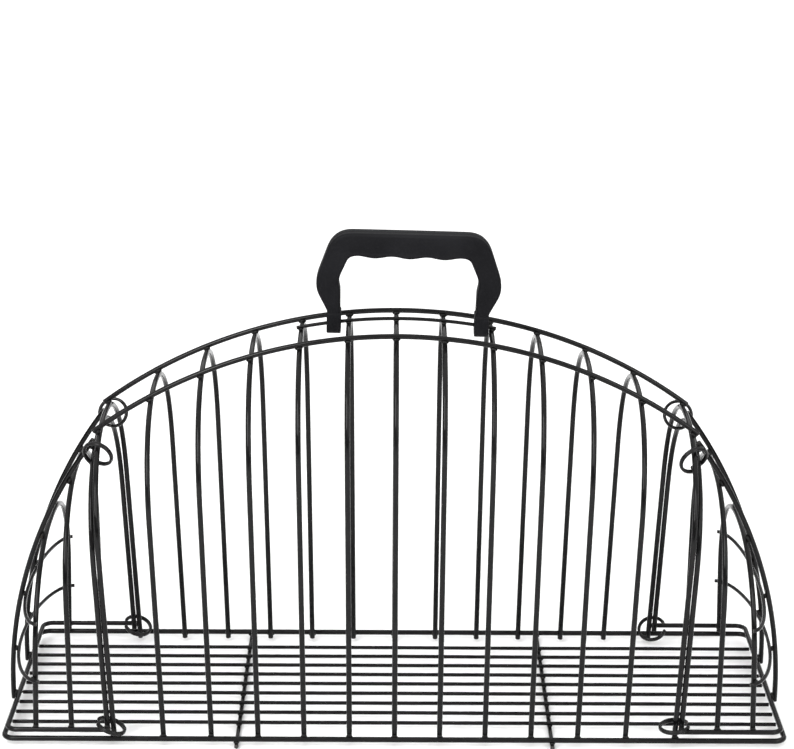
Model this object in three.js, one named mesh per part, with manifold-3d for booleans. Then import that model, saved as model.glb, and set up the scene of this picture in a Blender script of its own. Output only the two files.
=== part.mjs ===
// A live catch trap: a loaf-shaped cage of welded steel wire on a flat wire floor, with a hinged
// wire hood at each end, split rings as hinges and latches, and a moulded carry handle.
//
// Units are millimetres. +X runs along the cage, +Y to its rear, +Z up. The origin lies on the
// ground under the middle of the floor.

import * as THREE from "three";
import { mergeVertices } from "three/addons/utils/BufferGeometryUtils.js";
import Module from "manifold-3d";

const wasm = await Module();
wasm.setup();

// ---------------------------------------------------------------- driving dimensions

const GAP = 0.3; // between wires that are welded or rest on each other

const RAIL = 3.7; // wire diameters
const BASE = 3.4;
const HOOP = 3.7;
const ARCH = 3.6;
const CROSS = 3.2;
const FLOOR = 2.6;
const BRACE = 2.6;
const GRIP_RAIL = 2.5;
const RING = 2.6;

const SIDES = 8; // facets round a thick wire
const THIN_SIDES = 6;

const FRAME_HALF_LENGTH = 260; // centre lines of the floor frame
const FRAME_HALF_WIDTH = 87;
const FRAME_CORNER = 7;

const CROSS_X = 105;
const CROSS_OVERHANG = 2.5; // how far a cross bar's tip stands past the frame

const FLOOR_WIRE_PITCH = 15.25;
const FLOOR_WIRES = 9;
const HOOD_REST_GAP = 2.9; // between the frame and a hood's base rail

const HOOPS_EACH_SIDE = 6; // either side of the middle hoop
const HOOP_PITCH = 30.0;
const PITCH_GROWTH = 0.001; // the pitch opens a little toward the ends
const FAN = 1.053; // a hoop's crown stands this much further out than its feet
const ARCH_RISE = 75; // of a hoop's rounded top, above its straight legs
const ROUNDNESS = 2.3; // exponent of that rounded top: 2 is an ellipse, more is squarer
const FOOT_OVERHANG = 1.2; // how far a leg reaches below the wire it is welded to

const CROWN_Z = 268; // top of the middle hoop's centre line
const RIDGE_RADIUS = 331; // the crowns lie on a circle this big
const ARCH_Y = 31;
const ARCH_LIFT = 3.7; // centre line of an arch above the hoops' centre lines
const ARCH_END_X = 200.5;
const GRIP_RAIL_END_X = 66.5;

const HOOD_HOOP_FEET = [190.8, 214.8, 238.6]; // inner, middle and outer hoop of a hood
const HOOD_HOOP_LEAN = [2.75, 0.3, -1.7]; // degrees, outward
const HOOD_ARC_X = 261.6; // a hood arc stands upright here, at the height of its circle's centre
const HOOD_ARC_CENTRE_Z = 15;
const HOOD_ARC_RADIUS = 299;
const HOOD_ARC_TOP_X = 200.2;
const BASE_ARM_END_X = 188.5;
const BRACES = {
  left: { lower: { front: 47, rear: 41 }, upper: { front: 88, rear: 79.4 } }, // heights
  right: { lower: { front: 46.9, rear: 46.9 }, upper: { front: 85.4, rear: 85.4 } },
};
const BRACE_TIP_X = 234.2; // a bowed wire is half an ellipse that ends here, outside the hood
const BRACE_HALF_WIDTH = 88.2;

const RING_RADIUS = 9.5; // centre line of a split ring
const HINGE_TURNS = 1.12;
const HINGE_PITCH = 3.1;
const HINGE_INSET = 1.6; // a hinge ring's centre lies this far inward of the wires it holds
const LATCH_MOUTH = 4.8; // opening between the ends of a latch ring

const GRIP_SLIDE = 7.5; // the handle sits this far along its rail from the middle
const GRIP_THICKNESS = 16;
const GRIP_BEVEL = 2.5;
const GRIP_HOLE = 5.6;

// ---------------------------------------------------------------- derived heights

const crossZ = (CROSS / 2) * Math.cos(Math.PI / SIDES); // a facet lies on the ground
const frameZ = crossZ + (CROSS + RAIL) / 2 + GAP;
const floorWireZ = crossZ + (CROSS + FLOOR) / 2 + GAP;
const baseZ = frameZ + (RAIL + BASE) / 2 + HOOD_REST_GAP;
const legY = FRAME_HALF_WIDTH - (RAIL + HOOP) / 2 - GAP;
const hoopFootZ = frameZ - RAIL / 2 - FOOT_OVERHANG;
const hoodFootZ = baseZ - BASE / 2 - FOOT_OVERHANG;
const hoodArcFootZ = frameZ + RAIL / 2 + 2 * GAP;
const baseEndX = HOOD_ARC_X - (ARCH + BASE) / 2 - GAP;

// ---------------------------------------------------------------- materials

function coatedSteel() {
  return new THREE.MeshStandardMaterial({ color: 0x17171a, roughness: 0.38, metalness: 0.55 });
}

function mouldedPlastic() {
  return new THREE.MeshStandardMaterial({ color: 0x1d1d1f, roughness: 0.62, metalness: 0 });
}

// ---------------------------------------------------------------- wires

// The centre line of a bent wire: straight runs between stations, mitred at each station.
class WirePath extends THREE.Curve {
  constructor(stations) {
    super();
    this.stations = stations;
  }

  getPoint(t) {
    const last = this.stations.length - 1;
    const place = Math.min(Math.max(t * last, 0), last);
    const index = Math.min(Math.floor(place), last - 1);
    return this.stations[index].clone().lerp(this.stations[index + 1], place - index);
  }

  getPointAt(u) {
    return this.getPoint(u);
  }

  getTangentAt(u) {
    const last = this.stations.length - 1;
    const index = Math.round(u * last);
    const before = this.stations[Math.max(index - 1, 0)];
    const after = this.stations[Math.min(index + 1, last)];
    const here = this.stations[index];
    const arriving = here.clone().sub(before).normalize();
    const leaving = after.clone().sub(here).normalize();
    return arriving.add(leaving).normalize();
  }
}

function roundSection(diameter, sides) {
  const points = [];
  for (let i = 0; i < sides; i++) {
    const angle = (2 * Math.PI * (i + 0.5)) / sides;
    points.push(
      new THREE.Vector2(Math.cos(angle), Math.sin(angle)).multiplyScalar(diameter / 2),
    );
  }
  return new THREE.Shape(points);
}

function bentWire(stations, diameter, sides = SIDES) {
  return new THREE.ExtrudeGeometry(roundSection(diameter, sides), {
    steps: stations.length - 1,
    extrudePath: new WirePath(stations),
  });
}

// A straight wire along Y, with a facet facing down.
function straightWire(diameter, length) {
  const halfFacet = Math.PI / SIDES;
  return new THREE.CylinderGeometry(
    diameter / 2, diameter / 2, length, SIDES, 1, false, halfFacet,
  );
}

// Points on a circle in a plane, from one angle to another, both included.
function arcPoints(radius, from, to, steps) {
  const points = [];
  for (let i = 0; i <= steps; i++) {
    const angle = from + ((to - from) * i) / steps;
    points.push([radius * Math.cos(angle), radius * Math.sin(angle)]);
  }
  return points;
}

// ---------------------------------------------------------------- joins and cuts

function toSolid(geometry) {
  const bare = geometry.clone();
  bare.deleteAttribute("normal");
  bare.deleteAttribute("uv");
  const merged = mergeVertices(bare, 1e-4);
  return new wasm.Manifold(
    new wasm.Mesh({
      numProp: 3,
      vertProperties: new Float32Array(merged.attributes.position.array),
      triVerts: new Uint32Array(merged.index.array),
    }),
  );
}

function toGeometry(solid) {
  const mesh = solid.getMesh();
  const geometry = new THREE.BufferGeometry();
  geometry.setAttribute("position", new THREE.BufferAttribute(mesh.vertProperties, 3));
  geometry.setIndex(new THREE.BufferAttribute(mesh.triVerts, 1));
  geometry.computeVertexNormals();
  return geometry;
}

// ---------------------------------------------------------------- the object

const trap = new THREE.Group();

function add(parent, name, geometry, material = coatedSteel()) {
  const mesh = new THREE.Mesh(geometry, material);
  mesh.name = name;
  parent.add(mesh);
  return mesh;
}

// ---------------------------------------------------------------- floor

// A rectangle with round corners, about the origin.
function roundedRectangle(halfLength, halfWidth, corner) {
  const shape = new THREE.Shape();
  const x = halfLength - corner;
  const y = halfWidth - corner;
  const quarter = Math.PI / 2;
  shape.absarc(x, y, corner, 0, quarter);
  shape.absarc(-x, y, corner, quarter, 2 * quarter);
  shape.absarc(-x, -y, corner, 2 * quarter, 3 * quarter);
  shape.absarc(x, -y, corner, 3 * quarter, 4 * quarter);
  shape.closePath();
  return shape;
}

// The frame is one closed loop of wire. Its bevels give it the same eight facets as the others.
function frameLoop() {
  const across = RAIL * Math.cos(Math.PI / SIDES);
  const facet = across * Math.tan(Math.PI / SIDES);
  const chamfer = (across - facet) / 2;
  const half = across / 2;
  const outline = roundedRectangle(
    FRAME_HALF_LENGTH + half, FRAME_HALF_WIDTH + half, FRAME_CORNER + half,
  );
  outline.holes.push(
    roundedRectangle(
      FRAME_HALF_LENGTH - half, FRAME_HALF_WIDTH - half, FRAME_CORNER - half,
    ),
  );
  const loop = new THREE.ExtrudeGeometry(outline, {
    depth: facet,
    bevelThickness: chamfer,
    bevelSize: chamfer,
    bevelOffset: -chamfer,
    bevelSegments: 1,
    curveSegments: 6,
  });
  return loop.translate(0, 0, -facet / 2);
}

function addFloor() {
  const frame = add(trap, "floor_frame", frameLoop());
  frame.position.z = frameZ;

  const crossLength = 2 * FRAME_HALF_WIDTH + RAIL + 2 * CROSS_OVERHANG;
  for (const [name, side] of [["cross_bar_left", -1], ["cross_bar_right", 1]]) {
    const bar = add(trap, name, straightWire(CROSS, crossLength));
    bar.position.set(side * CROSS_X, 0, crossZ);
  }

  // The floor wires lie on the cross bars and butt against the end rails.
  const wireLength = 2 * (FRAME_HALF_LENGTH - RAIL / 2 - GAP);
  for (let i = 0; i < FLOOR_WIRES; i++) {
    const wire = add(trap, `floor_wire_${i + 1}`, straightWire(FLOOR, wireLength));
    wire.position.set(0, (i - (FLOOR_WIRES - 1) / 2) * FLOOR_WIRE_PITCH, floorWireZ);
    wire.rotation.z = Math.PI / 2;
  }
}

// ---------------------------------------------------------------- hoops

// How far a hoop's rounded top lies below its crown, at a distance from the middle plane.
function crownDrop(y) {
  const share = Math.pow(Math.abs(y) / legY, ROUNDNESS);
  return ARCH_RISE * (1 - Math.pow(1 - share, 1 / ROUNDNESS));
}

// A hoop in the YZ plane, feet at z = 0: two straight legs and a rounded top.
function hoopGeometry(height) {
  const topSteps = 14;
  const spring = height - ARCH_RISE;
  const power = 2 / ROUNDNESS;
  const stations = [new THREE.Vector3(0, -legY, 0)];
  for (let i = 0; i <= topSteps; i++) {
    const angle = (Math.PI * i) / topSteps;
    const across = Math.cos(angle);
    const y = -legY * Math.sign(across) * Math.pow(Math.abs(across), power);
    const z = spring + ARCH_RISE * Math.pow(Math.max(Math.sin(angle), 0), power);
    stations.push(new THREE.Vector3(0, y, z));
  }
  stations.push(new THREE.Vector3(0, legY, 0));
  return bentWire(stations, HOOP);
}

// A hoop stands at x = foot and leans toward +X by the angle given.
function addHoop(parent, name, foot, footZ, crown, lean) {
  const hoop = add(parent, name, hoopGeometry((crown - footZ) / Math.cos(lean)));
  hoop.position.set(foot, 0, footZ);
  hoop.rotation.y = lean;
  return hoop;
}

function bodyHoopPlace(index) {
  const foot = HOOP_PITCH * index * (1 + PITCH_GROWTH * index * index);
  const top = foot * FAN;
  const crown = CROWN_Z - RIDGE_RADIUS + Math.sqrt(RIDGE_RADIUS ** 2 - top ** 2);
  const lean = Math.atan2(top - foot, crown - hoopFootZ);
  return { foot, top, crown, lean };
}

function addBodyHoops() {
  for (let index = -HOOPS_EACH_SIDE; index <= HOOPS_EACH_SIDE; index++) {
    const number = String(index + HOOPS_EACH_SIDE + 1).padStart(2, "0");
    const { foot, crown, lean } = bodyHoopPlace(index);
    addHoop(trap, `body_hoop_${number}`, foot, hoopFootZ, crown, lean);
  }
}

// ---------------------------------------------------------------- wires over the crown

// A wire that follows the crowns at a distance y from the middle plane.
function ridgeWire(y, lift, endX, diameter, steps) {
  const radius = RIDGE_RADIUS + lift;
  const centreZ = CROWN_Z - RIDGE_RADIUS - crownDrop(y);
  const half = Math.asin(endX / radius);
  const stations = [];
  for (let i = 0; i <= steps; i++) {
    const angle = -half + (2 * half * i) / steps;
    stations.push(
      new THREE.Vector3(radius * Math.sin(angle), y, centreZ + radius * Math.cos(angle)),
    );
  }
  return bentWire(stations, diameter);
}

const gripRailLift = (HOOP + GRIP_RAIL) / 2 + GAP;

function addRidge() {
  add(trap, "body_arch_front", ridgeWire(-ARCH_Y, ARCH_LIFT, ARCH_END_X, ARCH, 22));
  add(trap, "body_arch_rear", ridgeWire(ARCH_Y, ARCH_LIFT, ARCH_END_X, ARCH, 22));
  add(trap, "handle_rail", ridgeWire(0, gripRailLift, GRIP_RAIL_END_X, GRIP_RAIL, 8));
}

// ---------------------------------------------------------------- hoods

const hoodArcCentreX = HOOD_ARC_X - HOOD_ARC_RADIUS;

// The crown of a hood hoop that touches the hood's arcs from below.
function hoodCrown(foot, lean) {
  const inside = HOOD_ARC_RADIUS - (HOOP + ARCH) / 2 - 2 * GAP;
  let z = hoodFootZ;
  for (let i = 0; i < 20; i++) {
    const x = foot + (z - hoodFootZ) * Math.tan(lean);
    z = HOOD_ARC_CENTRE_Z + Math.sqrt(inside ** 2 - (x - hoodArcCentreX) ** 2);
  }
  return z + crownDrop(ARCH_Y);
}

function hoodArc(side, y) {
  const steps = 14;
  const low = Math.asin((hoodArcFootZ - HOOD_ARC_CENTRE_Z) / HOOD_ARC_RADIUS);
  const high = Math.acos((HOOD_ARC_TOP_X - hoodArcCentreX) / HOOD_ARC_RADIUS);
  const stations = arcPoints(HOOD_ARC_RADIUS, low, high, steps).map(
    ([x, z]) => new THREE.Vector3(side * (hoodArcCentreX + x), y, HOOD_ARC_CENTRE_Z + z),
  );
  return bentWire(stations, ARCH);
}

function hoodBaseRail(side) {
  const inner = baseEndX - FRAME_CORNER;
  const width = FRAME_HALF_WIDTH - FRAME_CORNER;
  const stations = [new THREE.Vector3(side * BASE_ARM_END_X, -FRAME_HALF_WIDTH, baseZ)];
  for (const [x, y] of arcPoints(FRAME_CORNER, -Math.PI / 2, 0, 5)) {
    stations.push(new THREE.Vector3(side * (inner + x), y - width, baseZ));
  }
  for (const [x, y] of arcPoints(FRAME_CORNER, 0, Math.PI / 2, 5)) {
    stations.push(new THREE.Vector3(side * (inner + x), y + width, baseZ));
  }
  stations.push(new THREE.Vector3(side * BASE_ARM_END_X, FRAME_HALF_WIDTH, baseZ));
  return bentWire(stations, BASE);
}

function hoodArcX(z) {
  return hoodArcCentreX + Math.sqrt(HOOD_ARC_RADIUS ** 2 - (z - HOOD_ARC_CENTRE_Z) ** 2);
}

// A wire bowed round the end of the hood, inside the arcs and outside the outer hoop's legs.
function hoodBrace(side, { front, rear }) {
  const steps = 12;
  const middle = (front + rear) / 2;
  const rise = (middle - HOOD_ARC_CENTRE_Z) / HOOD_ARC_RADIUS;
  const reach = ((ARCH + BRACE) / 2 + 2 * GAP) / Math.sqrt(1 - rise ** 2);
  const bow =
    (hoodArcX(middle) - reach - BRACE_TIP_X) / Math.sqrt(1 - (ARCH_Y / BRACE_HALF_WIDTH) ** 2);
  const stations = [];
  for (let i = 0; i <= steps; i++) {
    const angle = (Math.PI * (i - steps / 2)) / steps;
    const share = Math.sin(angle);
    stations.push(
      new THREE.Vector3(
        side * (BRACE_TIP_X + bow * Math.cos(angle)),
        BRACE_HALF_WIDTH * share,
        middle + ((rear - front) / 2) * share,
      ),
    );
  }
  return bentWire(stations, BRACE, THIN_SIDES);
}

function addHood(name, side) {
  const hoopNames = ["inner", "middle", "outer"];
  hoopNames.forEach((hoopName, i) => {
    const lean = THREE.MathUtils.degToRad(HOOD_HOOP_LEAN[i]);
    const foot = HOOD_HOOP_FEET[i];
    const crown = hoodCrown(foot, lean);
    addHoop(trap, `${name}_${hoopName}_hoop`, side * foot, hoodFootZ, crown, side * lean);
  });
  add(trap, `${name}_front_arc`, hoodArc(side, -ARCH_Y));
  add(trap, `${name}_rear_arc`, hoodArc(side, ARCH_Y));
  add(trap, `${name}_base_rail`, hoodBaseRail(side));
  const { lower, upper } = BRACES[side < 0 ? "left" : "right"];
  add(trap, `${name}_lower_brace`, hoodBrace(side, lower));
  add(trap, `${name}_upper_brace`, hoodBrace(side, upper));
}

// ---------------------------------------------------------------- split rings

// A coil about the Z axis, its opening or overlap centred on +X.
function coil(turns, pitch, steps) {
  const from = Math.PI * (1 - turns);
  const stations = [];
  for (let i = 0; i <= steps; i++) {
    const angle = from + (2 * Math.PI * turns * i) / steps;
    stations.push(
      new THREE.Vector3(
        RING_RADIUS * Math.cos(angle),
        RING_RADIUS * Math.sin(angle),
        pitch * turns * (i / steps - 0.5),
      ),
    );
  }
  return bentWire(stations, RING, THIN_SIDES);
}

// The hinge rings hang from the shoulders of the end hoops, and the hood's inner hoop runs
// through them. Each ring's axis follows the hoop's wire and is turned a little on it.
function addHingeRings() {
  // name, side, rear, distance from the middle plane, degrees of turn
  const rings = [
    ["hinge_ring_left_front", -1, -1, 43.5, 20],
    ["hinge_ring_left_rear", -1, 1, 44, 12],
    ["hinge_ring_right_front", 1, -1, 46, -20],
    ["hinge_ring_right_rear", 1, 1, 44, 0],
  ];
  const body = bodyHoopPlace(HOOPS_EACH_SIDE);
  const hoodLean = THREE.MathUtils.degToRad(HOOD_HOOP_LEAN[0]);
  const hoodTop = hoodCrown(HOOD_HOOP_FEET[0], hoodLean);

  for (const [name, side, rear, y, turnDegrees] of rings) {
    const drop = crownDrop(y);
    const slope = crownDrop(y + 0.5) - crownDrop(y - 0.5);
    const bodyZ = body.crown - drop;
    const hoodZ = hoodTop - drop;
    const bodyX = body.foot + (bodyZ - hoopFootZ) * Math.tan(body.lean);
    const hoodX = HOOD_HOOP_FEET[0] + (hoodZ - hoodFootZ) * Math.tan(hoodLean);
    const wireOnBody = new THREE.Vector3(side * bodyX, rear * y, bodyZ);
    const wireOnHood = new THREE.Vector3(side * hoodX, rear * y, hoodZ);
    const along = new THREE.Vector3(0, 1, -rear * slope).normalize();
    const middle = wireOnHood.clone().add(wireOnBody).divideScalar(2);
    const apart = wireOnHood.sub(wireOnBody);
    apart.addScaledVector(along, -apart.dot(along)).normalize();
    const outward = new THREE.Vector3().crossVectors(along, new THREE.Vector3(1, 0, 0));
    const inward = new THREE.Vector3().crossVectors(along, apart);
    inward.multiplyScalar(-side * Math.sign(inward.x));
    const turn = THREE.MathUtils.degToRad(turnDegrees);
    const axis = along.clone().applyAxisAngle(outward, turn);
    const across = apart.clone().addScaledVector(axis, -apart.dot(axis)).normalize();
    const frame = new THREE.Matrix4().makeBasis(
      across, new THREE.Vector3().crossVectors(axis, across), axis,
    );
    const ring = add(trap, name, coil(HINGE_TURNS, HINGE_PITCH, 22));
    ring.quaternion.setFromRotationMatrix(frame);
    ring.position.copy(middle).addScaledVector(inward, HINGE_INSET);
  }
}

// The latch rings lie round an end hoop's leg and the hood's leg beside it. The opening of each
// ring faces outward, so the hood's leg can leave; a quarter turn closes the way.
function addLatchRings() {
  const mouthTurns = 1 - Math.asin(LATCH_MOUTH / 2 / RING_RADIUS) / Math.PI;
  // name, side, rear, centre x, centre z, degrees about Y, degrees about X
  const rings = [
    ["latch_ring_left_front", -1, -1, 188.6, 12.5, 22, 0],
    ["latch_ring_left_rear", -1, 1, 188.2, 11.6, 18, 18],
    ["latch_ring_right_front", 1, -1, 186.2, 13.9, 6, 0],
    ["latch_ring_right_rear", 1, 1, 189.2, 10.9, 12, 34],
  ];
  for (const [name, side, rear, x, z, pitchDegrees, rollDegrees] of rings) {
    const ring = add(trap, name, coil(mouthTurns, 0, 20));
    ring.position.set(side * x, rear * legY, z);
    const tilt = new THREE.Euler(
      THREE.MathUtils.degToRad(rollDegrees),
      THREE.MathUtils.degToRad(-side * pitchDegrees),
      0,
    );
    const facing = new THREE.Euler(0, 0, side > 0 ? 0 : Math.PI);
    ring.quaternion
      .setFromEuler(tilt)
      .multiply(new THREE.Quaternion().setFromEuler(facing));
  }
}

// ---------------------------------------------------------------- carry handle

// The outline of the handle in the XZ plane, z = 0 at the middle of the holes in its feet.
function gripShape() {
  const outer = new THREE.Shape();
  outer.moveTo(-44.6, -7);
  outer.lineTo(-53.4, -7);
  outer.lineTo(-53.8, 9);
  outer.lineTo(-60, 21);
  outer.quadraticCurveTo(-62.6, 27, -60.4, 34.5);
  outer.lineTo(-54.5, 52);
  outer.quadraticCurveTo(-50.6, 62.6, -40, 63);
  outer.lineTo(40, 63);
  outer.quadraticCurveTo(50.6, 62.6, 54.5, 52);
  outer.lineTo(60.4, 34.5);
  outer.quadraticCurveTo(62.6, 27, 60, 21);
  outer.lineTo(53.8, 9);
  outer.lineTo(53.4, -7);
  outer.lineTo(44.6, -7);
  outer.lineTo(45, 24);
  outer.quadraticCurveTo(47, 29, 45, 34.5);
  outer.lineTo(40.4, 45);
  // The underside of the grip has four finger hollows.
  const fingerPitch = 23;
  const hollow = 0.9;
  const steps = 24;
  const reach = 36;
  for (let i = 0; i <= steps; i++) {
    const x = reach - (2 * reach * i) / steps;
    outer.lineTo(x, 46.6 - hollow * Math.cos((2 * Math.PI * x) / fingerPitch));
  }
  outer.lineTo(-40.4, 45);
  outer.lineTo(-45, 34.5);
  outer.quadraticCurveTo(-47, 29, -45, 24);
  outer.closePath();
  return outer;
}

function addHandle() {
  const plate = new THREE.ExtrudeGeometry(gripShape(), {
    depth: GRIP_THICKNESS - 2 * GRIP_BEVEL,
    bevelThickness: GRIP_BEVEL,
    bevelSize: GRIP_BEVEL,
    bevelOffset: -GRIP_BEVEL,
    bevelSegments: 2,
    curveSegments: 4,
  });
  plate.translate(0, 0, -(GRIP_THICKNESS / 2 - GRIP_BEVEL));
  plate.rotateX(Math.PI / 2);

  const hole = new THREE.CylinderGeometry(GRIP_HOLE / 2, GRIP_HOLE / 2, 140, 12);
  hole.rotateZ(Math.PI / 2);
  const grip = toSolid(plate).subtract(toSolid(hole));

  // The handle follows the curve of its rail as it slides along it.
  const railRadius = RIDGE_RADIUS + gripRailLift;
  const footX = 49;
  const chord = Math.sqrt(railRadius ** 2 - footX ** 2);
  const slide = new THREE.Group();
  slide.position.z = CROWN_Z - RIDGE_RADIUS;
  slide.rotation.y = Math.asin(GRIP_SLIDE / railRadius);
  trap.add(slide);
  const handle = add(slide, "carry_handle", toGeometry(grip), mouldedPlastic());
  handle.position.z = chord;
}

// ---------------------------------------------------------------- assembly

addFloor();
addBodyHoops();
addRidge();
addHood("hood_left", -1);
addHood("hood_right", 1);
addHingeRings();
addLatchRings();
addHandle();

export default trap;
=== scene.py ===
import math
from itertools import combinations

import bmesh
import bpy
import numpy as np
from mathutils import Matrix, Vector
from mathutils.geometry import tessellate_polygon


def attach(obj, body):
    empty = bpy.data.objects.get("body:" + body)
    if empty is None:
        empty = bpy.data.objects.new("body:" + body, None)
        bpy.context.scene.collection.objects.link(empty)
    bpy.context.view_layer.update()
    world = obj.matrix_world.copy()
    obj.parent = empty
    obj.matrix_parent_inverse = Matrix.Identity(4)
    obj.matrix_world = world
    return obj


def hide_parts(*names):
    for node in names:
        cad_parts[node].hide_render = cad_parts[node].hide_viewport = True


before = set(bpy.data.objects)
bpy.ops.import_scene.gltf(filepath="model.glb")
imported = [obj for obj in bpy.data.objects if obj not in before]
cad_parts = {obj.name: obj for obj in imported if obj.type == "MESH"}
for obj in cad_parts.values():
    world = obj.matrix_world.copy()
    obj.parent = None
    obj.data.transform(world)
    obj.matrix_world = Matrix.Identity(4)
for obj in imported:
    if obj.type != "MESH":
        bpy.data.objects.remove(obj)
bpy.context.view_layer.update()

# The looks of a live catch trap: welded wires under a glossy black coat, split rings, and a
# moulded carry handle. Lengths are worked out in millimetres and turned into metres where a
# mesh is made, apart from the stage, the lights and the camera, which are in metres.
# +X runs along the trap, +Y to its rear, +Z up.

MM = 0.001

# ---------------------------------------------------------------- driving dimensions, mm

GAP = 0.3  # the CAD keeps this much between wires that are welded to each other

RAIL = 3.7  # wire diameters
BASE = 3.4
HOOP = 3.7
ARCH = 3.6
CROSS = 3.2
FLOOR = 2.6
BRACE = 2.6
GRIP_RAIL = 2.5
RING = 2.6

FRAME_HALF_LENGTH = 260.0
FRAME_HALF_WIDTH = 87.0
FRAME_CORNER = 7.0  # radius of the bends of the floor frame and of a hood's base rail

CROSS_X = 105.0
CROSS_OVERHANG = 2.5  # of a cross bar past the outside of the side rails

FLOOR_WIRE_PITCH = 15.25
FLOOR_WIRES = 9
FLOOR_WIRE_SWAY = 0.25  # how far a floor wire wanders to either side
HOOD_REST_GAP = 2.9  # between the floor frame and a hood's base rail

HOOPS_EACH_SIDE = 6  # of the middle hoop
HOOP_PITCH = 30.0
PITCH_GROWTH = 0.001  # share by which a hoop's distance grows, times its number squared
FAN = 1.053  # a hoop's crown stands this many times as far out as its feet
ARCH_RISE = 75.0  # of a hoop's rounded top above its straight legs
ROUNDNESS = 2.3  # power of the superellipse that the rounded top follows
FOOT_OVERHANG = 1.2  # of a hoop's feet below the rail that they are welded to

CROWN_Z = 268.0  # of the middle hoop
RIDGE_RADIUS = 331.0  # of the curve that the crowns of the body hoops follow
ARCH_Y = 31.0
ARCH_LIFT = 3.7  # of the arches' centre lines above those of the hoops
ARCH_END_X = 200.5
GRIP_RAIL_END_X = 66.5

HOOD_HOOP_FEET = (190.8, 214.8, 238.6)  # inner, middle and outer
HOOD_HOOP_LEAN = (2.75, 0.3, -1.7)  # degrees, outward
HOOD_ARC_X = 261.4  # 0.2 mm inside the CAD arc, because the wire here is truly round
HOOD_ARC_CENTRE_Z = 15.0
HOOD_ARC_RADIUS = 299.0
HOOD_ARC_TOP_X = 200.2
BASE_ARM_END_X = 188.5
BRACES = {  # for each hood: piece, height in front and at the rear
    "left": (("lower", 47.0, 41.0), ("upper", 88.0, 79.4)),
    "right": (("lower", 46.9, 46.9), ("upper", 85.4, 85.4)),
}
BRACE_TIP_X = 234.2
BRACE_HALF_WIDTH = 88.2

RING_RADIUS = 9.5
RING_WIRE_SHARE = 0.86  # thickness of each of a ring's two windings, of the CAD ring's
RING_SPREAD = 0.95  # between the centre lines of the two windings
HINGE_TURNS = 1.12
HINGE_PITCH = 3.1
HINGE_INSET = 1.6  # of a hinge ring's centre, inward from midway between its two hoops
LATCH_MOUTH = 4.8

# How finely wires and curves are divided.
WIRE_STEP = 2.5
RING_STEP = 0.8
WIRE_SIDES = 14
RING_SIDES = 12
HOOP_STATIONS = 73
RIDGE_STATIONS = 161
HOOD_ARC_STEPS = 70
BRACE_STATIONS = 90
CORNER_STEPS = 8
FLOOR_WIRE_STATIONS = 27
SWAY_STATIONS = 7
COIL_STEPS = 96
COIL_TRIM = 2  # steps left off at each end of a coil
HAIRPIN_STATIONS = 9

# A facet of an eight-sided wire lies this share of the wire's radius from its axis.
FACET_SHARE = math.cos(math.pi / 8)

CROSS_Z = CROSS / 2 * FACET_SHARE
FRAME_Z = CROSS_Z + (CROSS + RAIL) / 2 + GAP
FLOOR_WIRE_Z = CROSS_Z + (CROSS + FLOOR) / 2 + GAP
BASE_Z = FRAME_Z + (RAIL + BASE) / 2 + HOOD_REST_GAP
LEG_Y = FRAME_HALF_WIDTH - (RAIL + HOOP) / 2 - GAP
HOOP_FOOT_Z = FRAME_Z - RAIL / 2 - FOOT_OVERHANG
HOOD_FOOT_Z = BASE_Z - BASE / 2 - FOOT_OVERHANG
HOOD_ARC_FOOT_Z = FRAME_Z + RAIL / 2 + 2 * GAP
BASE_END_X = HOOD_ARC_X - (ARCH + BASE) / 2 - GAP
HOOD_ARC_CENTRE_X = HOOD_ARC_X - HOOD_ARC_RADIUS
GRIP_RAIL_LIFT = (HOOP + GRIP_RAIL) / 2 + GAP

# ---------------------------------------------------------------- materials


class Shader:
    """A node tree with short calls for the nodes that the materials here use."""

    def __init__(self, name):
        self.material = bpy.data.materials.new(name)
        self.material.use_nodes = True
        self.tree = self.material.node_tree
        self.bsdf = self.tree.nodes["Principled BSDF"]
        place = self.tree.nodes.new("ShaderNodeTexCoord")
        self.place = place.outputs["Object"]

    def link(self, source, target):
        self.tree.links.new(source, target)

    def noise(self, scale, detail):
        noise = self.tree.nodes.new("ShaderNodeTexNoise")
        noise.inputs["Scale"].default_value = scale
        noise.inputs["Detail"].default_value = detail
        self.link(self.place, noise.inputs["Vector"])
        return noise.outputs["Fac"]

    def ramp(self, source, low, high, dark, light):
        """Maps source from low..high onto the range from dark to light, numbers or colours."""
        node = self.tree.nodes.new("ShaderNodeValToRGB")
        first, last = node.color_ramp.elements
        first.position = low
        last.position = high
        first.color = as_colour(dark)
        last.color = as_colour(light)
        self.link(source, node.inputs["Fac"])
        return node.outputs["Color"]

    def mix(self, factor, source, colour):
        """The source where factor is 0, and the plain colour where it is 1."""
        node = self.tree.nodes.new("ShaderNodeMix")
        node.data_type = "RGBA"
        self.link(factor, node.inputs["Factor"])
        self.link(source, node.inputs["A"])
        node.inputs["B"].default_value = as_colour(colour)
        return node.outputs["Result"]

    def attribute(self, name):
        node = self.tree.nodes.new("ShaderNodeAttribute")
        node.attribute_name = name
        return node.outputs["Fac"]

    def bumps(self, *layers):
        """Each layer is (height, strength, distance in mm)."""
        normal = None
        for height, strength, distance in layers:
            bump = self.tree.nodes.new("ShaderNodeBump")
            bump.inputs["Strength"].default_value = strength
            bump.inputs["Distance"].default_value = distance * MM
            self.link(height, bump.inputs["Height"])
            if normal is not None:
                self.link(normal, bump.inputs["Normal"])
            normal = bump.outputs["Normal"]
        self.link(normal, self.bsdf.inputs["Normal"])

    def set(self, **values):
        for name, value in values.items():
            socket = self.bsdf.inputs[name.replace("_", " ")]
            if isinstance(value, bpy.types.NodeSocket):
                self.link(value, socket)
            else:
                socket.default_value = value


def as_colour(value):
    if isinstance(value, (int, float)):
        return (value, value, value, 1)
    return (*value, 1)


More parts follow.
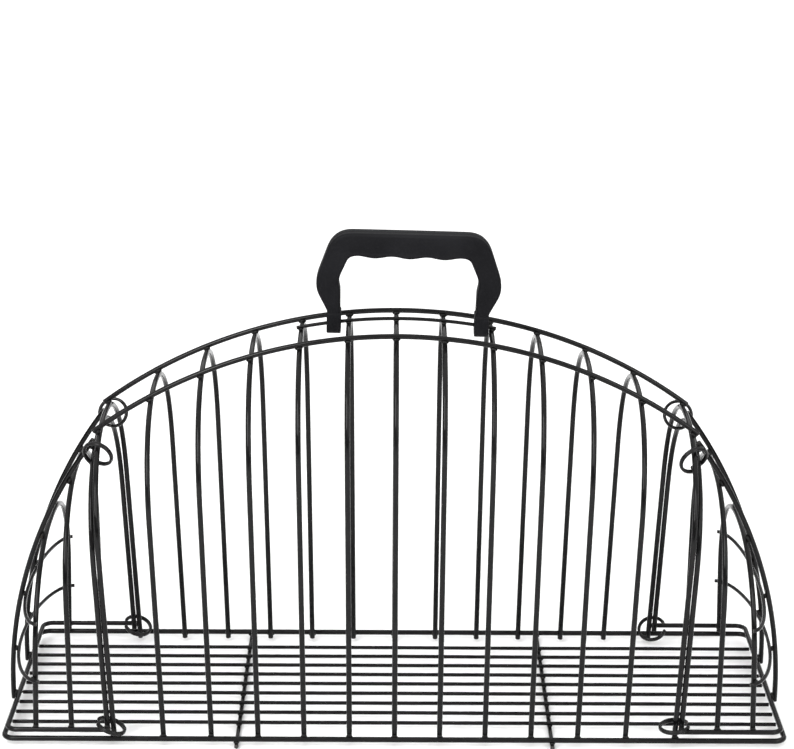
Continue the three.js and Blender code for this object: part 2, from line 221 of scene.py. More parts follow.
def coated_wire():
    """Black enamel over drawn wire: orange peel, slow thickness changes, thin at the cut tips."""
    shader = Shader("wire_coat")
    patches = shader.noise(45, 4)
    peel = shader.noise(900, 3)
    drawn = shader.noise(240, 5)
    coat = shader.ramp(patches, 0.35, 0.7, (0.0015, 0.0015, 0.0017), (0.004, 0.004, 0.0044))
    dusted = shader.mix(shader.ramp(drawn, 0.55, 0.8, 0, 0.5), coat, (0.009, 0.009, 0.009))
    worn = shader.mix(shader.attribute("wear"), dusted, (0.045, 0.042, 0.04))
    shader.set(
        Base_Color=worn,
        Roughness=shader.ramp(drawn, 0.3, 0.75, 0.16, 0.3),
        Coat_Weight=0.26,
        Coat_Roughness=0.04,
        Specular_IOR_Level=0.04,
    )
    shader.bumps((patches, 0.25, 0.25), (drawn, 0.25, 0.1), (peel, 0.2, 0.05))
    return shader.material


def coated_ring():
    """The rings are glossier than the cage, and scuffed where they rub."""
    shader = Shader("ring_coat")
    patches = shader.noise(160, 4)
    scuffs = shader.noise(700, 5)
    coat = shader.ramp(patches, 0.3, 0.7, (0.002, 0.002, 0.0022), (0.005, 0.005, 0.0054))
    worn = shader.mix(shader.attribute("wear"), coat, (0.07, 0.066, 0.062))
    shader.set(
        Base_Color=worn,
        Roughness=shader.ramp(scuffs, 0.3, 0.75, 0.16, 0.36),
        Coat_Weight=0.3,
        Coat_Roughness=0.04,
        Specular_IOR_Level=0.04,
    )
    shader.bumps((patches, 0.25, 0.15), (scuffs, 0.2, 0.05))
    return shader.material


def weld_metal():
    """Weld nuggets under the same coat: rougher, lumpy, with a little brown scale."""
    shader = Shader("weld_coat")
    lumps = shader.noise(520, 4)
    scale_spots = shader.noise(260, 3)
    coat = shader.ramp(lumps, 0.3, 0.7, (0.003, 0.003, 0.003), (0.009, 0.0088, 0.0085))
    spotted = shader.mix(
        shader.ramp(scale_spots, 0.62, 0.78, 0, 0.55), coat, (0.05, 0.04, 0.032)
    )
    shader.set(
        Base_Color=spotted,
        Roughness=shader.ramp(lumps, 0.3, 0.7, 0.34, 0.56),
        Coat_Weight=0.08,
        Coat_Roughness=0.2,
        Specular_IOR_Level=0.12,
    )
    shader.bumps((lumps, 0.5, 0.25))
    return shader.material


def grained_plastic():
    """Moulded black plastic: fine spark grain, slow sink marks, worn smooth where it is held."""
    shader = Shader("handle_plastic")
    sinks = shader.noise(38, 3)
    grain = shader.noise(2100, 3)
    pores = shader.noise(820, 5)
    body = shader.ramp(sinks, 0.3, 0.72, (0.003, 0.003, 0.0038), (0.0065, 0.0065, 0.0078))
    speckled = shader.mix(shader.ramp(pores, 0.5, 0.8, 0, 0.45), body, (0.015, 0.015, 0.017))
    worn = shader.mix(shader.attribute("wear"), speckled, (0.014, 0.014, 0.0155))
    shader.set(
        Base_Color=worn,
        Roughness=shader.ramp(pores, 0.3, 0.75, 0.46, 0.66),
        Specular_IOR_Level=0.08,
    )
    shader.bumps((sinks, 0.3, 0.4), (pores, 0.35, 0.09), (grain, 0.5, 0.06))
    return shader.material


# ---------------------------------------------------------------- wire meshes

COAT_WAVES = (2.7, 5.3, 11.9)  # mm of wire for each radian of the coat's unevenness
COAT_SHARE = 0.985  # mean radius, of the CAD wire's, which leaves room for the crests
COAT_RIPPLE = 0.005
COAT_WEAR = 0.05
EDGE_SHARE = 0.28  # radius of the edge of a cut end, of the wire's
CUT_END = (  # distance from the tip in edge radii, share of the wire's radius, wear
    (3.2, 0.985, 0.1),
    (1.6, 1.0, 0.25),
    (0.7, 0.98, 0.6),
    (0.2, 0.88, 0.9),
    (0.0, 0.66, 1.0),
)
CUT_END_ROOM = 4  # edge radii that a cut end takes up


def as_points(rows):
    return np.array(rows, float)


def spaced(points, step):
    """The same polyline with a point every step or so, its corners kept."""
    rows = [points[0]]
    for start, end in zip(points[:-1], points[1:]):
        count = max(1, round(float(np.linalg.norm(end - start)) / step))
        rows.extend(start + (end - start) * i / count for i in range(1, count + 1))
    return np.array(rows)


def directions(points, closed):
    if closed:
        ahead = np.roll(points, -1, axis=0) - points
        behind = points - np.roll(points, 1, axis=0)
    else:
        step = np.diff(points, axis=0)
        ahead = np.vstack([step, step[-1:]])
        behind = np.vstack([step[:1], step])
    ahead /= np.linalg.norm(ahead, axis=1)[:, None]
    behind /= np.linalg.norm(behind, axis=1)[:, None]
    total = ahead + behind
    return total / np.linalg.norm(total, axis=1)[:, None]


def side_vectors(tangents):
    """For each station, a vector across the wire that turns as little as it can along it."""
    start = np.array([0.0, 0.0, 1.0])
    if abs(tangents[0][2]) > 0.9:
        start = np.array([1.0, 0.0, 0.0])
    rows = []
    side = start
    for tangent in tangents:
        side = side - tangent * side.dot(tangent)
        side = side / np.linalg.norm(side)
        rows.append(side)
    return np.array(rows)


def new_mesh(name, vertices, faces, material):
    """A smooth piece from points in millimetres. Its wear is nought until it is set."""
    mesh = bpy.data.meshes.new(name)
    mesh.from_pydata([tuple(v * MM) for v in vertices], [], faces)
    mesh.materials.append(material)
    mesh.polygons.foreach_set("use_smooth", [True] * len(mesh.polygons))
    mesh.attributes.new("wear", "FLOAT", "POINT")
    mesh.update()
    piece = bpy.data.objects.new(name, mesh)
    bpy.context.scene.collection.objects.link(piece)
    return piece


def set_wear(mesh, values):
    mesh.attributes["wear"].data.foreach_set("value", np.asarray(values, np.float32))


def joined(shells):
    """The vertices and faces of several closed shells, as those of one mesh."""
    vertices, faces = [], []
    for points, rows in shells:
        start = len(vertices)
        vertices.extend(points)
        faces.extend(tuple(start + k for k in row) for row in rows)
    return vertices, faces


def band(rings, sides, closed):
    """Faces between rings of equally many points, which are numbered ring by ring."""
    faces = []
    for i in range(rings if closed else rings - 1):
        a, b = i * sides, (i + 1) % rings * sides
        for k in range(sides):
            n = (k + 1) % sides
            faces.append((a + k, a + n, b + n, b + k))
    return faces


def cut_end(point, side, up, tangent, radius):
    """The stations of a cut end with a small round edge, from inside the wire to its tip."""
    edge = EDGE_SHARE * radius
    return [
        (point - tangent * back * edge, side, up, radius * share, worn)
        for back, share, worn in CUT_END
    ]


def tube(points, diameter, closed, sides, seed):
    """Vertices, faces and wear of a round wire whose coat is a little uneven, and drawn up into
    a faint bead beside each cut end."""
    dice = np.random.default_rng(seed)
    radius = diameter / 2
    tangents = directions(points, closed)
    across = side_vectors(tangents)
    other = np.cross(tangents, across)
    length = np.concatenate([[0], np.cumsum(np.linalg.norm(np.diff(points, axis=0), axis=1))])
    phases = dice.uniform(0, 2 * math.pi, len(COAT_WAVES))
    ripple = sum(np.sin(length / wave + phase) for wave, phase in zip(COAT_WAVES, phases))
    radii = radius * (COAT_SHARE + COAT_RIPPLE * ripple)
    wear = np.maximum(COAT_WEAR + COAT_WEAR * ripple / len(COAT_WAVES), 0)

    stations = list(zip(points, across, other, radii, wear))
    if not closed:
        first = cut_end(points[0], across[0], other[0], -tangents[0], radius)
        last = cut_end(points[-1], across[-1], other[-1], tangents[-1], radius)
        room = CUT_END_ROOM * (EDGE_SHARE * radius)
        inside = [s for s, at in zip(stations, length) if room < at < length[-1] - room]
        stations = first[::-1] + inside + last

    angles = np.arange(sides) * 2 * math.pi / sides
    vertices = []
    values = []
    for point, side, up, r, worn in stations:
        for angle in angles:
            vertices.append(point + (side * math.cos(angle) + up * math.sin(angle)) * r)
            values.append(worn)
    rings = len(stations)
    faces = band(rings, sides, closed)
    if not closed:
        faces.append(tuple(range(sides))[::-1])
        faces.append(tuple(range((rings - 1) * sides, rings * sides)))
    return vertices, faces, values


class Wire:
    """One round wire: its centre line, its body and the CAD node that it stands for."""

    def __init__(self, name, body, points, diameter, closed=False, step=WIRE_STEP):
        self.name = name
        self.body = body
        self.points = spaced(as_points(points), step)
        self.diameter = diameter
        self.closed = closed

    def build(self, material, slot, sides=WIRE_SIDES):
        seed = sum(ord(letter) * (i + 1) for i, letter in enumerate(self.name))
        points = self.points[:-1] if self.closed else self.points
        vertices, faces, values = tube(points, self.diameter, self.closed, sides, seed)
        piece = new_mesh(f"{self.name}_wire", vertices, faces, material)
        set_wear(piece.data, values)
        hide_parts(self.name)
        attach(piece, self.body)


# ---------------------------------------------------------------- centre lines of the wires


def arc(radius, start, end, steps):
    angles = np.linspace(start, end, steps + 1)
    return np.column_stack([radius * np.cos(angles), radius * np.sin(angles)])


def crown_drop(y):
    """How far a hoop's rounded top lies below its crown, at a distance from the middle plane."""
    share = (abs(y) / LEG_Y) ** ROUNDNESS
    return ARCH_RISE * (1 - (1 - share) ** (1 / ROUNDNESS))


def hoop_line(foot, foot_z, crown, lean):
    """Two straight legs and a rounded top, standing at x = foot and leaning toward +X."""
    height = (crown - foot_z) / math.cos(lean)
    spring = height - ARCH_RISE
    power = 2 / ROUNDNESS
    rows = [(-LEG_Y, 0.0)]
    for angle in np.linspace(0, math.pi, HOOP_STATIONS):
        across = math.cos(angle)
        up = max(math.sin(angle), 0)
        y = -LEG_Y * math.copysign(abs(across) ** power, across)
        rows.append((y, spring + ARCH_RISE * up ** power))
    rows.append((LEG_Y, 0.0))
    return [(foot + z * math.sin(lean), y, foot_z + z * math.cos(lean)) for y, z in rows]


def body_hoop_place(index):
    foot = HOOP_PITCH * index * (1 + PITCH_GROWTH * index * index)
    top = foot * FAN
    crown = CROWN_Z - RIDGE_RADIUS + math.sqrt(RIDGE_RADIUS ** 2 - top ** 2)
    lean = math.atan2(top - foot, crown - HOOP_FOOT_Z)
    return foot, crown, lean


def frame_line():
    """The floor frame, all the way round, its last point the same as its first."""
    corner_x = FRAME_HALF_LENGTH - FRAME_CORNER
    corner_y = FRAME_HALF_WIDTH - FRAME_CORNER
    rows = []
    for quarter, (sx, sy) in enumerate(((1, 1), (-1, 1), (-1, -1), (1, -1))):
        start = quarter * math.pi / 2
        for x, y in arc(FRAME_CORNER, start, start + math.pi / 2, CORNER_STEPS):
            rows.append((sx * corner_x + x, sy * corner_y + y, FRAME_Z))
    rows.append(rows[0])
    return rows


def floor_wire_line(y, dice):
    """Almost straight: each wire of a real mat wanders by a few tenths of a millimetre."""
    tip = FRAME_HALF_LENGTH - RAIL / 2 - GAP
    x = np.linspace(-tip, tip, FLOOR_WIRE_STATIONS)
    bends = dice.uniform(-FLOOR_WIRE_SWAY, FLOOR_WIRE_SWAY, SWAY_STATIONS - 2)
    sway = np.interp(x, np.linspace(-tip, tip, SWAY_STATIONS), [0, *bends, 0])
    return np.column_stack([x, y + sway, np.full(FLOOR_WIRE_STATIONS, FLOOR_WIRE_Z)])


def ridge_line(y, lift, end_x):
    radius = RIDGE_RADIUS + lift
    centre_z = CROWN_Z - RIDGE_RADIUS - crown_drop(y)
    half = math.asin(end_x / radius)
    return [
        (radius * math.sin(a), y, centre_z + radius * math.cos(a))
        for a in np.linspace(-half, half, RIDGE_STATIONS)
    ]


def hood_crown(foot, lean):
    """The crown of a hood hoop that touches the hood's arcs from below."""
    inside = HOOD_ARC_RADIUS - (HOOP + ARCH) / 2 - 2 * GAP
    z = HOOD_FOOT_Z
    for _ in range(20):  # each round brings z closer to its final height
        x = foot + (z - HOOD_FOOT_Z) * math.tan(lean)
        z = HOOD_ARC_CENTRE_Z + math.sqrt(inside ** 2 - (x - HOOD_ARC_CENTRE_X) ** 2)
    return z + crown_drop(ARCH_Y)


def hood_arc_line(side, y):
    low = math.asin((HOOD_ARC_FOOT_Z - HOOD_ARC_CENTRE_Z) / HOOD_ARC_RADIUS)
    high = math.acos((HOOD_ARC_TOP_X - HOOD_ARC_CENTRE_X) / HOOD_ARC_RADIUS)
    return [
        (side * (HOOD_ARC_CENTRE_X + x), y, HOOD_ARC_CENTRE_Z + z)
        for x, z in arc(HOOD_ARC_RADIUS, low, high, HOOD_ARC_STEPS)
    ]


def base_rail_line(side):
    corner_x = BASE_END_X - FRAME_CORNER
    corner_y = FRAME_HALF_WIDTH - FRAME_CORNER
    rows = [(side * BASE_ARM_END_X, -FRAME_HALF_WIDTH, BASE_Z)]
    for x, y in arc(FRAME_CORNER, -math.pi / 2, 0, CORNER_STEPS):
        rows.append((side * (corner_x + x), y - corner_y, BASE_Z))
    for x, y in arc(FRAME_CORNER, 0, math.pi / 2, CORNER_STEPS):
        rows.append((side * (corner_x + x), y + corner_y, BASE_Z))
    rows.append((side * BASE_ARM_END_X, FRAME_HALF_WIDTH, BASE_Z))
    return rows


def brace_line(side, front, rear):
    """Half an ellipse round the end of the hood, just inside the hood's arcs."""
    middle = (front + rear) / 2
    rise = (middle - HOOD_ARC_CENTRE_Z) / HOOD_ARC_RADIUS
    across = math.sqrt(1 - rise ** 2)
    reach = ((ARCH + BRACE) / 2 + 2 * GAP) / across
    arc_x = HOOD_ARC_CENTRE_X + HOOD_ARC_RADIUS * across
    bow = (arc_x - reach - BRACE_TIP_X) / math.sqrt(1 - (ARCH_Y / BRACE_HALF_WIDTH) ** 2)
    angles = np.linspace(-math.pi / 2, math.pi / 2, BRACE_STATIONS)
    return np.column_stack([
        side * (BRACE_TIP_X + bow * np.cos(angles)),
        BRACE_HALF_WIDTH * np.sin(angles),
        middle + (rear - front) / 2 * np.sin(angles),
    ])


def cage_wires():
    wires = [Wire("floor_frame", "cage", frame_line(), RAIL, closed=True)]
    bar_half = FRAME_HALF_WIDTH + RAIL / 2 + CROSS_OVERHANG
    for name, side in (("left", -1), ("right", 1)):
        x = side * CROSS_X
        ends = [(x, -bar_half, CROSS_Z), (x, bar_half, CROSS_Z)]
        wires.append(Wire(f"cross_bar_{name}", "cage", ends, CROSS * FACET_SHARE))
    dice = np.random.default_rng(FLOOR_WIRES)
    for i in range(FLOOR_WIRES):
        y = (i - (FLOOR_WIRES - 1) / 2) * FLOOR_WIRE_PITCH
        wires.append(Wire(f"floor_wire_{i + 1}", "cage", floor_wire_line(y, dice), FLOOR))
    for index in range(-HOOPS_EACH_SIDE, HOOPS_EACH_SIDE + 1):
        foot, crown, lean = body_hoop_place(index)
        line = hoop_line(foot, HOOP_FOOT_Z, crown, lean)
        wires.append(Wire(f"body_hoop_{index + HOOPS_EACH_SIDE + 1:02d}", "cage", line, HOOP))
    for name, rear in (("front", -1), ("rear", 1)):
        line = ridge_line(rear * ARCH_Y, ARCH_LIFT, ARCH_END_X)
        wires.append(Wire(f"body_arch_{name}", "cage", line, ARCH))
    line = ridge_line(0, GRIP_RAIL_LIFT, GRIP_RAIL_END_X)
    wires.append(Wire("handle_rail", "cage", line, GRIP_RAIL))
    return wires


def hood_wires(name, side):
    node = f"hood_{name}"
    body = f"{name}_hood"
    wires = []
    for part, foot, lean_degrees in zip(
        ("inner", "middle", "outer"), HOOD_HOOP_FEET, HOOD_HOOP_LEAN
    ):
        lean = math.radians(lean_degrees)
        crown = hood_crown(foot, lean)
        line = hoop_line(side * foot, HOOD_FOOT_Z, crown, side * lean)
        wires.append(Wire(f"{node}_{part}_hoop", body, line, HOOP))
    wires.append(Wire(f"{node}_front_arc", body, hood_arc_line(side, -ARCH_Y), ARCH))
    wires.append(Wire(f"{node}_rear_arc", body, hood_arc_line(side, ARCH_Y), ARCH))
    wires.append(Wire(f"{node}_base_rail", body, base_rail_line(side), BASE))
    for part, front, rear in BRACES[name]:
        wires.append(Wire(f"{node}_{part}_brace", body, brace_line(side, front, rear), BRACE))
    return wires


# ---------------------------------------------------------------- welds

WELD_GAP = 1.2  # the widest gap between two wires that are welded to each other
SEARCH_SLACK = 1.0  # how much further apart their nearest stations may be
SAME_CROSSING = 3  # stations to either side that belong to one crossing
LEAST_SINE = 0.3  # of the angle between wires that cross, and don't run side by side

BEAD_REACH = (1.25, 1.55)  # half a bead's length and width, in radii of the thinner wire
BEAD_THICKNESS = (0.62, 0.78)
BEAD_LUMPS = 0.07
BEAD_WAVES = 4
BEAD_WAVE_STRENGTH = 3
BEAD_CLIMB = 0.55


def crossings(first, second):
    """Where two wires of one body touch: a point on each, and the direction of each there."""
    reach = (first.diameter + second.diameter) / 2 + WELD_GAP
    if np.any(first.points.min(0) - reach > second.points.max(0)):
        return []
    if np.any(second.points.min(0) - reach > first.points.max(0)):
        return []
    apart = np.linalg.norm(first.points[:, None] - second.points[None], axis=2)
    nearest = apart.min(axis=1)
    found = []
    for i in np.flatnonzero(nearest < reach + SEARCH_SLACK):
        around = nearest[max(i - SAME_CROSSING, 0):i + SAME_CROSSING + 1]
        if nearest[i] > around.min() or (found and i - found[-1] <= SAME_CROSSING):
            continue
        found.append(i)
    ways_1 = directions(first.points, False)
    ways_2 = directions(second.points, False)
    rows = []
    for i in found:
        j = int(apart[i].argmin())
        d1, d2 = ways_1[i], ways_2[j]
        normal = np.cross(d1, d2)
        if np.linalg.norm(normal) < LEAST_SINE:
            continue
        normal /= np.linalg.norm(normal)
        # The closest points of the two straight lines through i and j.
        offset = second.points[j] - first.points[i]
        in_plane = offset - offset.dot(normal) * normal
        solution = np.linalg.lstsq(np.column_stack([d1, -d2]), in_plane, rcond=None)[0]
        step = np.clip(solution, -WIRE_STEP, WIRE_STEP)
        near_first = first.points[i] + d1 * step[0]
        near_second = second.points[j] + d2 * step[1]
        if np.linalg.norm(near_second - near_first) <= reach:
            rows.append((near_first, near_second, d1, d2))
    return rows


def nugget(at_first, at_second, d1, d2, r1, r2, dice):
    """A squashed, lumpy bead in the crook between two crossing wires."""
    normal = at_second - at_first
    apart = np.linalg.norm(normal)
    normal /= apart
    middle = at_first + normal * (r1 + (apart - r1 - r2) / 2)
    thin = min(r1, r2)
    reach_1 = thin * dice.uniform(*BEAD_REACH)
    reach_2 = thin * dice.uniform(*BEAD_REACH)
    thick = thin * dice.uniform(*BEAD_THICKNESS)
    waves = dice.uniform(-1, 1, (BEAD_WAVES, 3)) * BEAD_WAVE_STRENGTH
    bead = bmesh.new()
    bmesh.ops.create_icosphere(bead, subdivisions=3, radius=1)
    vertices = []
    for vertex in bead.verts:
        p = np.array(vertex.co)
        unevenness = sum(math.sin(wave.dot(p) + k) for k, wave in enumerate(waves))
        lump = 1 + BEAD_LUMPS * unevenness / 2
        # The bead climbs the wires a little where it meets them.
        climb = 1 + BEAD_CLIMB * (p[0] ** 2 + p[1] ** 2) * abs(p[2])
        vertices.append(
            middle + (d1 * p[0] * reach_1 + d2 * p[1] * reach_2) * lump
            + normal * p[2] * thick * climb * lump
        )
    faces = [tuple(v.index for v in face.verts) for face in bead.faces]
    bead.free()
    return vertices, faces


def add_welds(wires, material):
    for body in sorted({wire.body for wire in wires}):
        dice = np.random.default_rng(len(body))
        beads = [
            nugget(*place, first.diameter / 2, second.diameter / 2, dice)
            for first, second in combinations([w for w in wires if w.body == body], 2)
            for place in crossings(first, second)
        ]
        vertices, faces = joined(beads)
        piece = new_mesh(f"{body}_welds", vertices, faces, material)
        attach(piece, body)


# ---------------------------------------------------------------- split rings


def rotation(axis, angle):
    return np.array(Matrix.Rotation(angle, 3, Vector(axis)))


def ring_line(turns, pitch):
    """A coil about Z, its opening or overlap centred on +X."""
    start = math.pi * (1 - turns)
    rows = []
    for i in range(COIL_STEPS + 1):
        angle = start + 2 * math.pi * turns * i / COIL_STEPS
        rows.append((
            RING_RADIUS * math.cos(angle),
            RING_RADIUS * math.sin(angle),
            pitch * turns * (i / COIL_STEPS - 0.5),
        ))
    return np.array(rows)


def doubled(line):
    """The line out and back, side by side along Z, joined by a round hairpin."""
    up = np.array([0, 0, RING_SPREAD / 2])
    tangent = line[-1] - line[-2]
    tangent /= np.linalg.norm(tangent)
    rows = [*(line - up)]
    for angle in np.linspace(-math.pi / 2, math.pi / 2, HAIRPIN_STATIONS)[1:-1]:
        ahead = tangent * RING_SPREAD / 2 * math.cos(angle)
        rows.append(line[-1] + ahead + up * math.sin(angle))
    rows.extend((line + up)[::-1])
    return np.array(rows)


def add_ring(node, body, centre, basis, line, material):
    """Each ring is one springy wire wound double, which gives it the CAD ring's thickness."""
    winding = doubled(line[COIL_TRIM:-COIL_TRIM])
    points = winding @ basis.T + centre
    ring = Wire(node, body, points, RING * RING_WIRE_SHARE, step=RING_STEP)
    ring.build(material, "ring_coat", RING_SIDES)


def hinge_place(side, rear, y, turn):
    """The centre and axes of a ring round the end hoop of the body and the inner hoop of a
    hood, at distance y from the middle plane, its own axis turned on the hoops by turn."""
    foot, crown, lean = body_hoop_place(HOOPS_EACH_SIDE)
    hood_lean = math.radians(HOOD_HOOP_LEAN[0])
    drop = crown_drop(y)
    slope = crown_drop(y + 0.5) - crown_drop(y - 0.5)  # over 1 mm of y
    body_z = crown - drop
    hood_z = hood_crown(HOOD_HOOP_FEET[0], hood_lean) - drop
    body_x = foot + (body_z - HOOP_FOOT_Z) * math.tan(lean)
    hood_x = HOOD_HOOP_FEET[0] + (hood_z - HOOD_FOOT_Z) * math.tan(hood_lean)
    on_body = np.array([side * body_x, rear * y, body_z])
    on_hood = np.array([side * hood_x, rear * y, hood_z])
    along = np.array([0, 1, -rear * slope])
    along /= np.linalg.norm(along)
    apart = on_hood - on_body
    apart -= along * apart.dot(along)
    apart /= np.linalg.norm(apart)
    outward = np.cross(along, [1, 0, 0])
    outward /= np.linalg.norm(outward)
    axis = rotation(outward, math.radians(turn)) @ along
    across = apart - axis * apart.dot(axis)
    across /= np.linalg.norm(across)
    basis = np.column_stack([across, np.cross(axis, across), axis])
    inward = np.cross(along, apart)
    inward *= -side * np.sign(inward[0])
    return (on_hood + on_body) / 2 + inward * HINGE_INSET, basis


def add_hinge_rings(material):
    rings = (  # node, side, rear, distance from the middle plane, turn in degrees
        ("hinge_ring_left_front", -1, -1, 43.5, 20),
        ("hinge_ring_left_rear", -1, 1, 44, 12),
        ("hinge_ring_right_front", 1, -1, 46, -20),
        ("hinge_ring_right_rear", 1, 1, 44, 0),
    )
    line = ring_line(HINGE_TURNS, HINGE_PITCH)
    for name, side, rear, y, turn in rings:
        centre, basis = hinge_place(side, rear, y, turn)
        add_ring(name, "cage", centre, basis, line, material)


def add_latch_rings(material):
    rings = (  # node, side, rear, x and z of its centre, pitch and roll in degrees
        ("latch_ring_left_front", -1, -1, 188.6, 12.5, 22, 0),
        ("latch_ring_left_rear", -1, 1, 188.2, 11.6, 18, 18),
        ("latch_ring_right_front", 1, -1, 186.2, 13.9, 6, 0),
        ("latch_ring_right_rear", 1, 1, 189.2, 10.9, 12, 34),
    )
    line = ring_line(1 - math.asin(LATCH_MOUTH / 2 / RING_RADIUS) / math.pi, 0)
    for name, side, rear, x, z, pitch, roll in rings:
        basis = rotation((1, 0, 0), math.radians(roll))
        basis = basis @ rotation((0, 1, 0), math.radians(-side * pitch))
        if side < 0:
            basis = basis @ rotation((0, 0, 1), math.pi)
        centre = np.array([side * x, rear * LEG_Y, z])
        add_ring(name, f"{name}_body", centre, basis, line, material)


# ---------------------------------------------------------------- carry handle, mm

GRIP_SLIDE = 7.5  # of the handle along its rail, to the right
GRIP_HOLE = 5.6
GRIP_HALF = 7.6
GRIP_EDGE = 2.1
GRIP_EDGE_STATIONS = 7
OUTLINE_STEP = 0.8
SOFTENING_ROUNDS = 4
PARTING_RIDGE = 0.14  # height of the ridge where the halves of the mould met
PARTING_FOOT = 0.45  # half its width at the foot and at the top
PARTING_TOP = 0.2
FINGER_Z = 46.6  # of the grip's underside, between the crests and the hollows
FINGER_PITCH = 23.0
FINGER_HOLLOW = 0.75
FINGER_REACH = 36.0
FOOT_TOP = 9.0  # of a foot above its hole
FOOT_BOTTOM = 7.0  # and below it
FOOT_X = (44.3, 53.8)
FOOT_HALF = 8.0
FOOT_EDGE = 0.9
FOOT_EDGE_STATIONS = 5
FOOT_SIDES = 72
SQUARE_POWER = 9  # superellipse powers of a foot's outline above and below its hole
ROUND_POWER = 2.6
HOLE_LIP = 0.35
HAND_HALF_WIDTH = 52
HAND_LOW_Z = 308  # the wear starts at this height, and is full so much higher
HAND_FADE = 18
HAND_WEAR = 0.5


def quadratic(start, control, end, steps=10):
    """The points of a quadratic curve after its start."""
    rows = []
    for i in range(1, steps + 1):
        t = i / steps
        rows.append(tuple(
            (1 - t) ** 2 * a + 2 * t * (1 - t) * b + t ** 2 * c
            for a, b, c in zip(start, control, end)
        ))
    return rows


def grip_outline():
    """Counted from the foot of the left leg, up its outer side, over, and back along the inside.
    z = 0 is the middle of the holes in the feet."""
    outer = [(-53.1, 4), (-53.5, 9), (-59.8, 21)]
    outer += quadratic((-59.8, 21), (-62.4, 27), (-60.3, 34.5))
    outer += [(-54.5, 51)]
    outer += quadratic((-54.5, 51), (-50.4, 62.2), (-39, 62.8))
    outer += [(0, 62.9)]
    outer += [(-x, z) for x, z in outer[-2::-1]]
    inner = [(44.9, 4), (45.2, 24)]
    inner += quadratic((45.2, 24), (47.2, 29), (45.2, 34.5))
    inner += [(40.9, 44.4)]
    inner += quadratic((40.9, 44.4), (39.6, 47.0), (FINGER_REACH, 47.1), 6)
    turn = len(inner)
    for x in np.linspace(FINGER_REACH, -FINGER_REACH, 61)[1:-1]:
        wave = math.cos(2 * math.pi * x / FINGER_PITCH)
        inner.append((x, FINGER_Z - FINGER_HOLLOW * wave))
    inner += [(-x, z) for x, z in inner[:turn][::-1]]
    return outer + inner


def evenly(outline, step):
    """The closed outline with evenly spaced points."""
    points = as_points([*outline, outline[0]])
    gaps = np.linalg.norm(np.diff(points, axis=0), axis=1)
    length = np.concatenate([[0], np.cumsum(gaps)])
    at = np.linspace(0, length[-1], round(length[-1] / step), endpoint=False)
    return np.column_stack([np.interp(at, length, points[:, k]) for k in (0, 1)])


def softened(outline, rounds):
    for _ in range(rounds):
        outline = (
            np.roll(outline, 1, axis=0) + 2 * outline + np.roll(outline, -1, axis=0)
        ) / 4
    return outline


def inset(outline, distance):
    """The closed clockwise outline moved inwards by distance."""
    ahead = np.roll(outline, -1, axis=0) - np.roll(outline, 1, axis=0)
    ahead /= np.linalg.norm(ahead, axis=1)[:, None]
    return outline + np.column_stack([ahead[:, 1], -ahead[:, 0]]) * distance


def edge_profile():
    """Pairs of inset and y from the front face to the back, with a parting ridge at y = 0."""
    front = [
        (GRIP_EDGE * (1 - math.sin(a)), -GRIP_HALF + GRIP_EDGE * (1 - math.cos(a)))
        for a in np.linspace(0, math.pi / 2, GRIP_EDGE_STATIONS)
    ]
    line = [(0, -PARTING_FOOT), (-PARTING_RIDGE, -PARTING_TOP)]
    return front + line + [(d, -y) for d, y in (front + line)[::-1]]


def skin(rings, closed):
    """Faces between rings of equally many points; the first and last are capped or joined."""
    count = len(rings[0])
    faces = band(len(rings), count, closed)
    if not closed:
        for i in (0, len(rings) - 1):
            corners = [Vector(point) for point in rings[i]]
            for triangle in tessellate_polygon([corners]):
                faces.append(tuple(i * count + k for k in triangle))
    return faces


def grip_mesh():
    outline = softened(evenly(grip_outline(), OUTLINE_STEP), SOFTENING_ROUNDS)
    rings = []
    for distance, y in edge_profile():
        rings.append([(x, y, z) for x, z in inset(outline, distance)])
    return [p for ring in rings for p in ring], skin(rings, closed=False)


def foot_reach(angle):
    """How far a foot reaches from its hole, at an angle in the YZ plane."""
    y, z = abs(math.cos(angle)), math.sin(angle)
    if z >= 0:
        power, depth = SQUARE_POWER, FOOT_TOP
    else:
        power, depth = ROUND_POWER, FOOT_BOTTOM
    return ((y / FOOT_HALF) ** power + (abs(z) / depth) ** power) ** (-1 / power)


def at_angle(x, radius, angle):
    return (x, radius * math.cos(angle), radius * math.sin(angle))


def foot_mesh(side):
    """A block with a round bottom and a hole along X, its edges rounded."""
    low, high = sorted(side * x for x in FOOT_X)
    hole = GRIP_HOLE / 2
    turn = np.linspace(0, math.pi / 2, FOOT_EDGE_STATIONS)
    left = [(low + FOOT_EDGE * (1 - math.cos(a)), FOOT_EDGE * (1 - math.sin(a))) for a in turn]
    walls = left + [(low + high - x, d) for x, d in left[::-1]]
    bore = [
        (high, hole + HOLE_LIP),
        (high - HOLE_LIP, hole),
        (low + HOLE_LIP, hole),
        (low, hole + HOLE_LIP),
    ]
    angles = np.arange(FOOT_SIDES) * 2 * math.pi / FOOT_SIDES
    rings = [[at_angle(x, foot_reach(a) - d, a) for a in angles] for x, d in walls]
    rings += [[at_angle(x, r, a) for a in angles] for x, r in bore]
    return [p for ring in rings for p in ring], skin(rings, closed=True)


def placed_on_rail(points):
    """From the handle's own frame to the trap's: up onto the rail, then along its curve."""
    radius = RIDGE_RADIUS + GRIP_RAIL_LIFT
    chord = math.sqrt(radius ** 2 - sum(FOOT_X) ** 2 / 4)
    turn = math.asin(GRIP_SLIDE / radius)
    lifted = as_points(points) + [0, 0, chord]
    return lifted @ rotation((0, 1, 0), turn).T + [0, 0, CROWN_Z - RIDGE_RADIUS]


